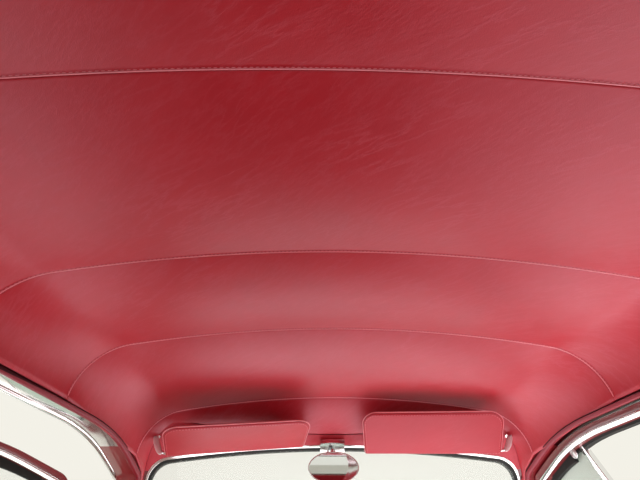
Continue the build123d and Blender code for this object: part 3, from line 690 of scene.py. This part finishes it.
def lining_cover(name, node, front, rear):
    """Sewn vinyl panel between two seams."""
    form = bmesh.new()
    rows = 2 * len(EDGE_ROWS) + MIDDLE_ROWS - 2
    bmesh.ops.create_grid(form, x_segments=COVER_COLUMNS, y_segments=rows, size=1.0)
    for vertex in form.verts:
        share = vertex.co.x
        front_y, rear_y = panel_ends(share, front, rear)
        span = front_y - rear_y
        close = min(1.0, span / (EDGE_ROOM * EDGE_ROWS[-1]))
        row = round((vertex.co.y + 1.0) / 2 * rows)
        if row < len(EDGE_ROWS):
            away = EDGE_ROWS[row] * close
        elif rows - row < len(EDGE_ROWS):
            away = span - EDGE_ROWS[rows - row] * close
        else:
            last = EDGE_ROWS[-1] * close
            away = mix(last, span - last, (row - len(EDGE_ROWS) + 1) / MIDDLE_ROWS)
        vertex.co = cover_point(share, front_y - away, front, rear) * MM
    bmesh.ops.recalc_face_normals(form, faces=form.faces)
    if form.faces[0].normal.z > 0:
        bmesh.ops.reverse_faces(form, faces=form.faces)
    area = sum(face.calc_area() for face in form.faces)
    cover = piece_from(form, name, lining_vinyl, "roof", angle=60.0)
    thicken(cover, LINING_THICKNESS)
    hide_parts(node)
    flat_cut(front, rear)


lining_cover("header_cover", "header_lining", None, LINING_SEAMS[0])
for number, (seam, behind) in enumerate(SEAM_PAIRS, 1):
    lining_cover(f"lining_cover_{number}", f"lining_panel_{number}", seam, behind)


def tube(name, points, radius, place, material, body, closed=True):
    """Round welt along a line of points, made as a mesh."""
    curve = bpy.data.curves.new(name, "CURVE")
    curve.dimensions = "3D"
    curve.bevel_depth = radius
    curve.bevel_resolution = TUBE_RESOLUTION
    line = curve.splines.new("POLY")
    line.points.add(len(points) - 1)
    for spot, point in zip(line.points, points):
        spot.co = (*point, 1.0)
    line.use_cyclic_u = closed
    holder = bpy.data.objects.new(name + "_line", curve)
    mesh = bpy.data.meshes.new_from_object(holder)
    mesh.transform(place)
    bpy.data.objects.remove(holder)
    mesh.name = name
    return piece_of(mesh, name, material, body, angle=60.0)


def stitch_row(form, points, across):
    """Short thread lengths along a line of points."""
    size = Matrix.Diagonal((STITCH_LENGTH / 2, STITCH_WIDTH / 2, STITCH_WIDTH / 2, 1.0))
    travelled = 0.0
    due = STITCH_PITCH / 2
    for start, end in zip(points, points[1:]):
        length = (end - start).length
        while travelled + length >= due:
            place = start.lerp(end, (due - travelled) / length)
            along = (end - start).normalized()
            up = across.cross(along).normalized()
            side = along.cross(up)
            turn = Matrix((along, side, up)).transposed().to_4x4()
            made = bmesh.ops.create_icosphere(form, subdivisions=1, radius=1.0)
            matrix = IN_METRES @ Matrix.Translation(place) @ turn @ size
            bmesh.ops.transform(form, matrix=matrix, verts=made["verts"])
            due += STITCH_PITCH
        travelled += length


def seam_line(seam, behind, inset, lift, reach, steps):
    """Points along a seam, set back behind it and off the lining's face."""
    points = []
    for step in range(steps + 1):
        share = -reach + 2 * reach * step / steps
        place = cover_point(share, seam - inset, seam, behind)
        points.append(place - lining_normal(share, seam - inset) * lift)
    return points


def seam_stitches():
    """Top stitching on the hem behind each seam of the lining."""
    form = bmesh.new()
    for seam, behind in SEAM_PAIRS:
        points = seam_line(seam, behind, STITCH_INSET, STITCH_LIFT, STITCH_REACH, STITCH_STEPS)
        stitch_row(form, points, AHEAD)
    piece_from(form, "seam_stitches", thread, "roof")


def seam_welts():
    """Thin folded edge that stands up along each seam of the lining, coloured pale pink as a painted
    highlight on the fold.
    """
    for number, (seam, behind) in enumerate(SEAM_PAIRS, 1):
        points = seam_line(seam, behind, WELT_INSET, WELT_STAND, WELT_REACH, WELT_STEPS)
        name = f"seam_welt_{number}"
        welt = tube(name, points, WELT_RADIUS, IN_METRES, hem_highlight_vinyl, "roof", closed=False)


seam_stitches()
seam_welts()


def rounded(node, name, radius, segments, body="roof"):
    """Copy of a solid with its edges rounded, standing for it."""
    form = bmesh.new()
    form.from_mesh(nodes[node].data)
    bmesh.ops.remove_doubles(form, verts=form.verts, dist=MERGE_METRES)
    limit = math.radians(FLAT_ANGLE)
    bmesh.ops.dissolve_limit(form, angle_limit=limit, verts=form.verts, edges=form.edges)
    round_edges(form, SHARP_ANGLE, radius * MM, segments)
    piece = piece_from(form, name, NODE_FINISHES[node], body, angle=40.0)
    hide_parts(node)
    return piece


def second_finish(piece, material, chosen):
    """Gives another finish to the faces that pass a test."""
    mesh = piece.data
    mesh.materials.append(material)
    for face in mesh.polygons:
        if chosen(face):
            face.material_index = 1


def heads_opening(face):
    """Whether a face lies on the underside of a door opening's head."""
    within = STRIP_SPAN[0] < face.center.y < STRIP_SPAN[1]
    return face.normal.z < STRIP_SLOPE and within and face.center.z > STRIP_LEVEL


def in_painted_groove_shade(face):
    """Whether a face of the windlace lies in the groove where it meets the lining, where near-black vinyl
    paints the groove's shade.
    """
    inward = -math.copysign(face.normal.x, face.normal.x * face.center.x)
    return inward > GROOVE_SHADE_INWARD and face.normal.z > GROOVE_SHADE_SLOPE


beads = rounded("windlaces", "windlace_beads", radius=4.2, segments=4)
# The windlace faces in the groove by the lining get near-black vinyl as painted shade
second_finish(beads, painted_groove_shade_vinyl, in_painted_groove_shade)
rounded("windscreen_garnish", "windscreen_moulding", radius=2.2, segments=4)
rounded("rear_garnish", "rear_moulding", radius=1.7, segments=3)
rounded("quarter_reveals", "quarter_mouldings", radius=1.7, segments=3)
rounded("drip_rails", "drip_mouldings", radius=3.0, segments=3)
rounded("windscreen_frame", "windscreen_surround", radius=3.0, segments=2)
rounded("rear_panel", "rear_surround", radius=3.0, segments=2)
for hand in ("left", "right"):
    door = f"{hand}_door"
    rounded(f"{hand}_door_frame", f"{hand}_door_shell", radius=3.0, segments=3, body=door)
    rounded(f"{hand}_door_reveal", f"{hand}_door_moulding", radius=3.0, segments=4, body=door)
    rounded(f"{hand}_vent_bar", f"{hand}_vent_post", radius=2.5, segments=3, body=door)
    shell = rounded(f"{hand}_body_side", f"{hand}_side_shell", radius=2.5, segments=2)
    second_finish(shell, chrome, heads_opening)


def screw_head(name, place, way, radius, body):
    """Domed slotted screw head facing along a direction."""
    form = bmesh.new()
    made = bmesh.ops.create_uvsphere(form, u_segments=HEAD_SEGMENTS, v_segments=HEAD_RINGS, radius=radius)
    low = [vertex for vertex in made["verts"] if vertex.co.z < HEAD_CUT]
    bmesh.ops.delete(form, geom=low, context="VERTS")
    for vertex in form.verts:
        vertex.co.z *= HEAD_DOME
        if abs(vertex.co.x) < radius * SLOT_HALF:
            vertex.co.z = min(vertex.co.z, radius * SLOT_FLOOR)
    turn = Vector(way).to_track_quat("Z", "Y").to_matrix().to_4x4()
    matrix = IN_METRES @ Matrix.Translation(place) @ turn
    bmesh.ops.transform(form, matrix=matrix, verts=form.verts)
    return piece_from(form, name, screw_steel, body, angle=25.0)


def door_place(hand):
    """Takes a place on the right door, shut, to the same place on either door as it stands."""
    if hand == "right":
        return Matrix.Identity(4)
    pin = Matrix.Translation(LEFT_DOOR_PIN)
    swing = pin @ Matrix.Rotation(math.radians(LEFT_DOOR_SWING), 4, "Z") @ pin.inverted()
    return swing @ Matrix.Scale(-1.0, 4, (1.0, 0.0, 0.0))


def vent_corner(hand):
    """Thick rubber in the vent pane's top corner, and the pane's bright upper pivot."""
    form = bmesh.new()
    bmesh.ops.create_cube(form, size=1.0)
    bmesh.ops.subdivide_edges(form, edges=form.edges, cuts=VENT_RUBBER_CUTS, use_grid_fill=True)
    for vertex in form.verts:
        along, rise, depth = vertex.co * 2
        taper = mix(*VENT_RUBBER_ENDS, (along + 1) / 2)
        bow = VENT_RUBBER_BOW * (1 - along**2)
        vertex.co = (along * VENT_RUBBER_HALF, rise * taper + bow, depth * VENT_RUBBER_DEPTH)
    round_edges(form, VENT_RUBBER_SHARP, VENT_RUBBER_ROUND, 3)
    low, high = (Vector(point) for point in VENT_RUBBER_LINE)
    along = (high - low).normalized()
    depth = along.cross(UP).normalized()
    rise = depth.cross(along)
    turn = Matrix((along, rise, depth)).transposed().to_4x4()
    on_door = door_place(hand)
    place = on_door @ Matrix.Translation((low + high) / 2 - rise * VENT_RUBBER_DROP) @ turn
    bmesh.ops.transform(form, matrix=IN_METRES @ place, verts=form.verts)
    bmesh.ops.recalc_face_normals(form, faces=form.faces)
    door = f"{hand}_door"
    piece_from(form, f"{hand}_vent_corner_rubber", rubber, door, angle=40.0)
    pivot = on_door @ Vector(VENT_PIVOT)
    way = on_door.to_3x3() @ Vector(VENT_PIVOT_WAY)
    screw_head(f"{hand}_vent_pivot", pivot, way, VENT_PIVOT_RADIUS, door)


for hand in ("left", "right"):
    vent_corner(hand)


def visor_frame(hand):
    """Place of one visor: x along its rod, y to its free edge, z through its thickness."""
    inner, outer, lift = VISOR_RODS[hand]
    start = Vector(inner)
    rod = Vector(outer) - start
    along = rod.normalized()
    level = towards(along.cross(UP).normalized(), BACK)
    rise = towards(level.cross(along), UP)
    up = level * math.cos(math.radians(lift)) + rise * math.sin(math.radians(lift))
    turn = Matrix((along, up, along.cross(up))).transposed().to_4x4()
    return IN_METRES @ Matrix.Translation(start) @ turn, rod.length - VISOR_OUTER_GAP


def visor_inset(from_edge, corner):
    """How far a rounded corner draws the side in at one distance from its edge."""
    if from_edge >= corner:
        return 0.0
    return corner - math.sqrt(corner**2 - (corner - from_edge) ** 2)


def visor_outline(length, grow):
    """Points round a visor's edge, from the rod's inner end round the free edge."""
    left, right = -VISOR_BLIND_END - grow, length + grow
    low, high = -VISOR_BELOW_ROD - grow, VISOR_HEIGHT + grow
    corner = VISOR_CORNER + grow
    rod_corner = VISOR_ROD_CORNER + grow
    points = []
    for middle_x, middle_y, radius, start in (
        (left + corner, high - corner, corner, 180),
        (right - corner, high - corner, corner, 90),
        (right - rod_corner, low + rod_corner, rod_corner, 0),
        (left + rod_corner, low + rod_corner, rod_corner, -90),
    ):
        for step in range(VISOR_CORNER_STEPS + 1):
            turn = math.radians(start - 90 * step / VISOR_CORNER_STEPS)
            x, y = middle_x + radius * math.cos(turn), middle_y + radius * math.sin(turn)
            points.append(Vector((x, y, 0)))
    return points


def visor_half(up):
    """Half the board's thickness inside its rim, from 0 below the rod to 1 at the free edge."""
    return VISOR_THICKNESS / 2 * mix(1.0, VISOR_TAPER, up) * VISOR_FILLING


def closer(value):
    """Draws places between -1 and 1 towards the ends, where the rim needs more faces."""
    return value * (1.5 - 0.5 * value**2)


def visor_cover(hand):
    """Padded visor board: two crowned faces that meet in a bound edge."""
    place, length = visor_frame(hand)
    form = bmesh.new()
    for face in (-1.0, 1.0):
        made = bmesh.ops.create_grid(form, x_segments=VISOR_COLUMNS, y_segments=VISOR_ROWS, size=1.0)
        for vertex in made["verts"]:
            across = closer(vertex.co.x)
            up = (closer(vertex.co.y) + 1) / 2
            y = mix(-VISOR_BELOW_ROD, VISOR_HEIGHT, up)
            inset = visor_inset(VISOR_HEIGHT - y, VISOR_CORNER)
            inset += visor_inset(y + VISOR_BELOW_ROD, VISOR_ROD_CORNER)
            middle = (length - VISOR_BLIND_END) / 2
            half = (length + VISOR_BLIND_END) / 2 - inset
            edge = min(half * (1 - abs(across)), VISOR_HEIGHT - y, y + VISOR_BELOW_ROD)
            rim = min(edge / VISOR_RIM, 1.0)
            thick = visor_half(up) * math.sqrt(max(1 - (1 - rim) ** 2, 0.0))
            crown = VISOR_CROWN * (1 - across**2) * (1 - (2 * up - 1) ** 2)
            vertex.co = Vector((middle + half * across, y, face * (thick + crown)))
    bmesh.ops.remove_doubles(form, verts=form.verts, dist=VISOR_MERGE)
    bmesh.ops.recalc_face_normals(form, faces=form.faces)
    bmesh.ops.transform(form, matrix=place, verts=form.verts)
    body = f"{hand}_visor_blade"
    # Darker vinyl on the visor: painted shade
    cover = piece_from(form, f"{hand}_visor_cover", visor_shaded_vinyl, body, angle=60.0)
    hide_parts(f"{hand}_visor")
    outline = visor_outline(length, PIPING_GROWTH)
    # Pale pink piping: painted highlight along the visor's bound edge
    tube(f"{hand}_visor_piping", outline, PIPING_RADIUS, place, piping_highlight_vinyl, body)


def visor_stitches(hand):
    """Stitching inside the bound edge, on both faces of the visor."""
    place, length = visor_frame(hand)
    form = bmesh.new()
    ring = visor_outline(length, VISOR_STITCH_GROWTH)
    for face in (-1.0, 1.0):
        lifted = []
        for point in ring:
            up = (point.y + VISOR_BELOW_ROD) / (VISOR_HEIGHT + VISOR_BELOW_ROD)
            lifted.append(Vector((point.x, point.y, face * visor_half(up))))
        stitch_row(form, [*lifted, lifted[0]], Vector((0, 0, face)))
    bmesh.ops.transform(form, matrix=place @ Matrix.Scale(1 / MM, 4), verts=form.verts)
    piece_from(form, f"{hand}_visor_stitches", thread, f"{hand}_visor_blade")


for hand in VISOR_RODS:
    visor_cover(hand)
    visor_stitches(hand)


def visor_bracket(hand):
    """Crescent plate over a visor rod's elbow, with its screw at the head."""
    foot, head = (Vector(point) for point in VISOR_BRACKETS[hand])
    along = (head - foot).normalized()
    outward = Vector((math.copysign(1.0, foot.x), 0.0, 0.0))
    face = towards(along.cross(outward).normalized(), BACK)
    across = towards(face.cross(along).normalized(), outward)
    length = (head - foot).length + 2 * BRACKET_HALF_WIDTH
    form = bmesh.new()
    bmesh.ops.create_grid(form, x_segments=BRACKET_COLUMNS, y_segments=BRACKET_ROWS, size=1.0)
    for vertex in form.verts:
        u, v = vertex.co.x, vertex.co.y
        half = BRACKET_HALF_WIDTH * math.sqrt(max(1 - abs(u) ** 3, 0.0))
        bow = BRACKET_BOW * (1 - u**2)
        dome = BRACKET_DOME * math.sqrt(max(1 - v**2, 0.0)) * math.sqrt(max(1 - u**4, 0.0))
        middle = foot.lerp(head, 0.5) + along * (u * length / 2)
        vertex.co = (middle + across * (bow + v * half) + face * (BRACKET_STAND + dome)) * MM
    bmesh.ops.remove_doubles(form, verts=form.verts, dist=BRACKET_MERGE)
    bmesh.ops.recalc_face_normals(form, faces=form.faces)
    # Near-white plating on the bracket: painted reflection of its chrome
    plate = piece_from(form, f"{hand}_visor_bracket", bracket_painted_glint_plating, "roof", angle=50.0)
    thicken(plate, BRACKET_WALL)
    place = foot.lerp(head, BRACKET_SCREW_ALONG) + across * (BRACKET_BOW * BRACKET_SCREW_BOW)
    place += face * (BRACKET_SCREW_STAND + BRACKET_DOME)
    screw = screw_head(f"{hand}_bracket_screw", place, face, BRACKET_SCREW_RADIUS, "roof")


for hand in VISOR_BRACKETS:
    visor_bracket(hand)


def many_sided(form):
    return [face for face in form.faces if len(face.verts) > 4]


def oval_dome(name, half, y, rise, material, facing, apex=(0.0, 0.0)):
    """Shallow oval dome on the mirror, turned with it about its pin."""
    form = bmesh.new()
    bmesh.ops.create_circle(form, cap_ends=True, segments=DOME_SEGMENTS, radius=1.0)
    bmesh.ops.inset_region(form, faces=form.faces[:], thickness=DOME_FIRST_RING)
    for _ in range(DOME_RINGS):
        bmesh.ops.inset_region(form, faces=many_sided(form), thickness=DOME_RING)
    bmesh.ops.poke(form, faces=many_sided(form))
    for vertex in form.verts:
        across, up = vertex.co.x, vertex.co.y
        bulge = rise * (1 - min(across**2 + up**2, 1.0))
        bulge += 2 * rise * (across * apex[0] + up * apex[1] * half[1] / half[0]) / half[0]
        x, z = MIRROR_PIN[0] + across * half[0], MIRROR_PIN[2] + up * half[1]
        vertex.co = Vector((x, y + facing * bulge, z))
    turn = Matrix.Translation(MIRROR_PIN) @ Matrix.Rotation(math.radians(MIRROR_DIP), 4, "X")
    turn = turn @ Matrix.Translation([-value for value in MIRROR_PIN])
    bmesh.ops.transform(form, matrix=IN_METRES @ turn, verts=form.verts)
    bmesh.ops.recalc_face_normals(form, faces=form.faces)
    if form.faces[0].normal.y * facing < 0:
        bmesh.ops.reverse_faces(form, faces=form.faces)
    return piece_from(form, name, material, "mirror_head", angle=60.0)


rounded("mirror_shell", "mirror_case", radius=1.4, segments=3, body="mirror_head")
back = oval_dome("mirror_back", MIRROR_BACK_HALF, MIRROR_BACK_Y, MIRROR_BACK_DOME, chrome, 1)
pane_rise = MIRROR_PANE_HALF[0] ** 2 / (2 * MIRROR_PANE_RADIUS)
pane = oval_dome(
    "mirror_pane", MIRROR_PANE_HALF, MIRROR_FACE_Y, pane_rise, mirror_silver, -1, MIRROR_PANE_APEX
)
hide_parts("mirror_glass")

bpy.ops.object.camera_add()
camera = bpy.context.object
camera.name = "camera"
camera.data.lens = CAMERA_LENS
camera.data.sensor_width = SENSOR_WIDTH
camera.data.clip_start = CAMERA_CLIP
camera.matrix_world = (
    Matrix.Translation(CAMERA_PLACE)
    @ Matrix.Rotation(math.radians(CAMERA_YAW), 4, "Z")
    @ Matrix.Rotation(math.radians(90 + CAMERA_PITCH), 4, "X")
    @ Matrix.Rotation(math.radians(CAMERA_ROLL), 4, "Z")
)
bpy.context.scene.camera = camera


def area_lamp(name, place, aim, size, power, colour):
    """Soft rectangular lamp aimed at a point."""
    lamp = bpy.data.lights.new(name, "AREA")
    lamp.shape = "RECTANGLE"
    lamp.size, lamp.size_y = size
    lamp.energy = power
    lamp.color = colour
    holder = bpy.data.objects.new(name, lamp)
    bpy.context.scene.collection.objects.link(holder)
    way = Vector(aim) - Vector(place)
    holder.matrix_world = Matrix.Translation(place) @ way.to_track_quat("-Z", "Y").to_matrix().to_4x4()
    holder.visible_camera = False


for lamp_row in LAMPS:
    area_lamp(*lamp_row)


def pale_floor():
    """Wide pale floor just under the cut plane."""
    form = bmesh.new()
    bmesh.ops.create_grid(form, x_segments=1, y_segments=1, size=FLOOR_HALF)
    mesh = bpy.data.meshes.new("floor")
    form.to_mesh(mesh)
    form.free()
    floor = bpy.data.objects.new("floor", mesh)
    floor.location = FLOOR_PLACE
    bpy.context.scene.collection.objects.link(floor)
    finish = Finish("floor finish", {"Roughness": 0.9})
    finish.set("Base Color", finish.between(finish.noise(1.5, detail=3.0), *FLOOR_TONES))
    dress(floor, finish.material)


def surroundings():
    """Pale world that is stronger where the camera, a gloss or a pane shows it."""
    world = bpy.data.worlds.new("surroundings")
    world.use_nodes = True
    air = Shading(world.node_tree)
    background = air.tree.nodes["Background"]
    air.join(background.inputs["Color"], SURROUNDINGS_COLOUR)
    seen, through, glossy = (
        air.node("ShaderNodeLightPath", {}, {}, f"Is {kind} Ray")
        for kind in ("Camera", "Transmission", "Glossy")
    )
    inputs = {"Value": seen | through | glossy, "To Min": STRENGTH_AS_LIGHT, "To Max": STRENGTH_AS_SHOWN}
    air.join(background.inputs["Strength"], air.node("ShaderNodeMapRange", {}, inputs))
    bpy.context.scene.world = world


pale_floor()
surroundings()
bpy.context.scene.view_settings.view_transform = "Standard"
